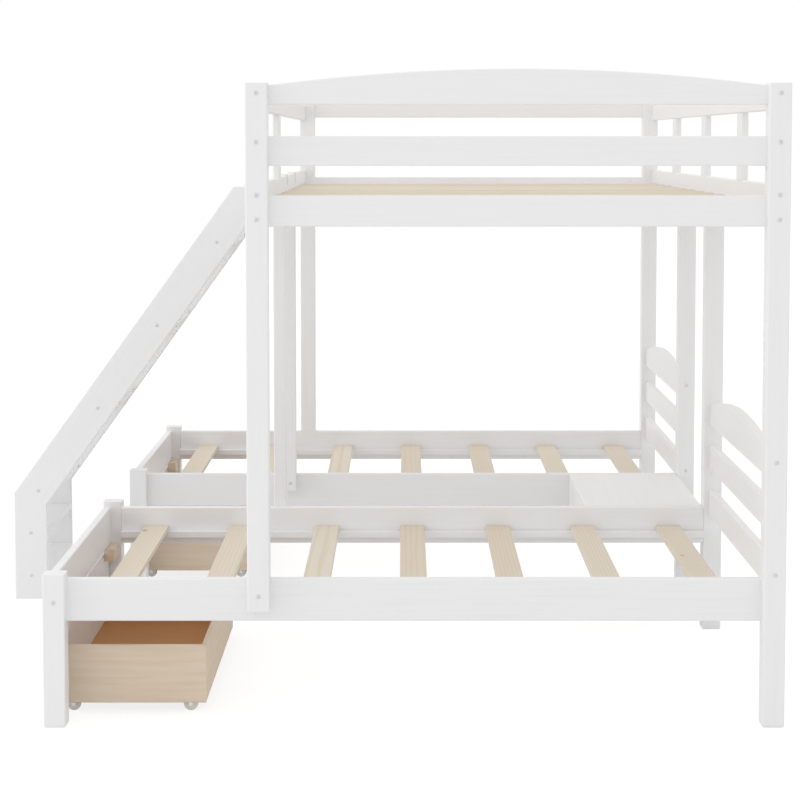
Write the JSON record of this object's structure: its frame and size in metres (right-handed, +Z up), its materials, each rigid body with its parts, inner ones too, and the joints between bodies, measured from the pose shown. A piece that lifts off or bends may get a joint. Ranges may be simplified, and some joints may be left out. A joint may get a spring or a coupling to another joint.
{
  "type": "triple bunk bed",
  "caption": "White wooden triple bunk bed: single beds either side of an aisle, a wide bunk across them, a slanted ladder, and wheeled drawers at the foot.",
  "frame": {"origin": "on the floor, at the middle of the whole footprint", "axes": "+X from the ladder and drawers at the foot end to the headboards, +Y from the front bed to the rear bed, +Z up"},
  "size_m": [2.396, 2.777, 1.791],
  "materials": {
    "painted_wood": "satin white paint",
    "slat_wood": "sanded, unpainted",
    "drawer_wood": "plywood, unpainted",
    "drawer_base": "smooth brown hardboard",
    "wheel_plastic": "matte moulded",
    "bracket_steel": "zinc plated",
    "hook_steel": "white powder coat",
    "bolt_steel": "dull zinc"
  },
  "bodies": {
    "frame": {"bed_ledgers": "painted_wood", "bolt_heads": "bolt_steel", "bridge_shelf": "painted_wood", "deck_bearers": "slat_wood", "deck_slats": "slat_wood", "drawer_stops": "drawer_wood", "front_arched_rail": "painted_wood", "front_bed_slats": "slat_wood", "front_corner_post": "painted_wood", "front_deck_rail": "painted_wood", "front_foot_rail": "painted_wood", "front_guard_board": "painted_wood", "front_headboard_arch": "painted_wood", "front_headboard_boards": "painted_wood", "front_inner_bed_rail": "painted_wood", "front_inner_foot_leg": "painted_wood", "front_inner_head_post": "painted_wood", "front_mid_post": "painted_wood", "front_outer_bed_rail": "painted_wood", "front_outer_foot_leg": "painted_wood", "front_outer_head_post": "painted_wood", "ladder_far_stringer": "painted_wood", "ladder_hooks": "hook_steel", "ladder_near_stringer": "painted_wood", "ladder_treads": "painted_wood", "left_deck_rail": "painted_wood", "rear_arched_rail": "painted_wood", "rear_bed_slats": "slat_wood", "rear_corner_post": "painted_wood", "rear_deck_rail": "painted_wood", "rear_foot_rail": "painted_wood", "rear_guard_board": "painted_wood", "rear_headboard_arch": "painted_wood", "rear_headboard_boards": "painted_wood", "rear_inner_bed_rail": "painted_wood", "rear_inner_foot_leg": "painted_wood", "rear_inner_head_post": "painted_wood", "rear_mid_post": "painted_wood", "rear_outer_bed_rail": "painted_wood", "rear_outer_foot_leg": "painted_wood", "rear_outer_head_post": "painted_wood", "right_deck_rail": "painted_wood", "side_balusters": "painted_wood", "side_top_rails": "painted_wood"},
    "front_drawer": {"front_drawer_base": "drawer_base", "front_drawer_box": "drawer_wood", "front_drawer_casters": "bracket_steel", "front_drawer_front": "painted_wood"},
    "rear_drawer": {"rear_drawer_base": "drawer_base", "rear_drawer_box": "drawer_wood", "rear_drawer_casters": "bracket_steel", "rear_drawer_front": "painted_wood"},
    "front_drawer_back_aisle_wheel": {"front_drawer_back_aisle_wheel": "wheel_plastic"},
    "front_drawer_back_side_wheel": {"front_drawer_back_side_wheel": "wheel_plastic"},
    "front_drawer_outer_aisle_wheel": {"front_drawer_outer_aisle_wheel": "wheel_plastic"},
    "front_drawer_outer_side_wheel": {"front_drawer_outer_side_wheel": "wheel_plastic"},
    "rear_drawer_back_aisle_wheel": {"rear_drawer_back_aisle_wheel": "wheel_plastic"},
    "rear_drawer_back_side_wheel": {"rear_drawer_back_side_wheel": "wheel_plastic"},
    "rear_drawer_outer_aisle_wheel": {"rear_drawer_outer_aisle_wheel": "wheel_plastic"},
    "rear_drawer_outer_side_wheel": {"rear_drawer_outer_side_wheel": "wheel_plastic"}
  },
  "joints": [
    {"name": "front_drawer_slide", "type": "slide", "parent": "frame", "child": "front_drawer", "axis": [-1, 0, 0], "range_m": [0, 0.4]},
    {"name": "rear_drawer_slide", "type": "slide", "parent": "frame", "child": "rear_drawer", "axis": [-1, 0, 0], "range_m": [0, 0.25]},
    {"name": "front_drawer_back_aisle_roll", "type": "hinge", "parent": "front_drawer", "child": "front_drawer_back_aisle_wheel", "pos_m": [-0.438, -0.436, 0.02], "axis": [0, 1, 0], "continuous": true},
    {"name": "front_drawer_back_side_roll", "type": "hinge", "parent": "front_drawer", "child": "front_drawer_back_side_wheel", "pos_m": [-0.438, -1.219, 0.02], "axis": [0, 1, 0], "continuous": true},
    {"name": "front_drawer_outer_aisle_roll", "type": "hinge", "parent": "front_drawer", "child": "front_drawer_outer_aisle_wheel", "pos_m": [-0.767, -0.436, 0.02], "axis": [0, 1, 0], "continuous": true},
    {"name": "front_drawer_outer_side_roll", "type": "hinge", "parent": "front_drawer", "child": "front_drawer_outer_side_wheel", "pos_m": [-0.767, -1.219, 0.02], "axis": [0, 1, 0], "continuous": true},
    {"name": "rear_drawer_back_aisle_roll", "type": "hinge", "parent": "rear_drawer", "child": "rear_drawer_back_aisle_wheel", "pos_m": [-0.438, 0.436, 0.02], "axis": [0, 1, 0], "continuous": true},
    {"name": "rear_drawer_back_side_roll", "type": "hinge", "parent": "rear_drawer", "child": "rear_drawer_back_side_wheel", "pos_m": [-0.438, 1.219, 0.02], "axis": [0, 1, 0], "continuous": true},
    {"name": "rear_drawer_outer_aisle_roll", "type": "hinge", "parent": "rear_drawer", "child": "rear_drawer_outer_aisle_wheel", "pos_m": [-0.767, 0.436, 0.02], "axis": [0, 1, 0], "continuous": true},
    {"name": "rear_drawer_outer_side_roll", "type": "hinge", "parent": "rear_drawer", "child": "rear_drawer_outer_side_wheel", "pos_m": [-0.767, 1.219, 0.02], "axis": [0, 1, 0], "continuous": true}
  ]
}
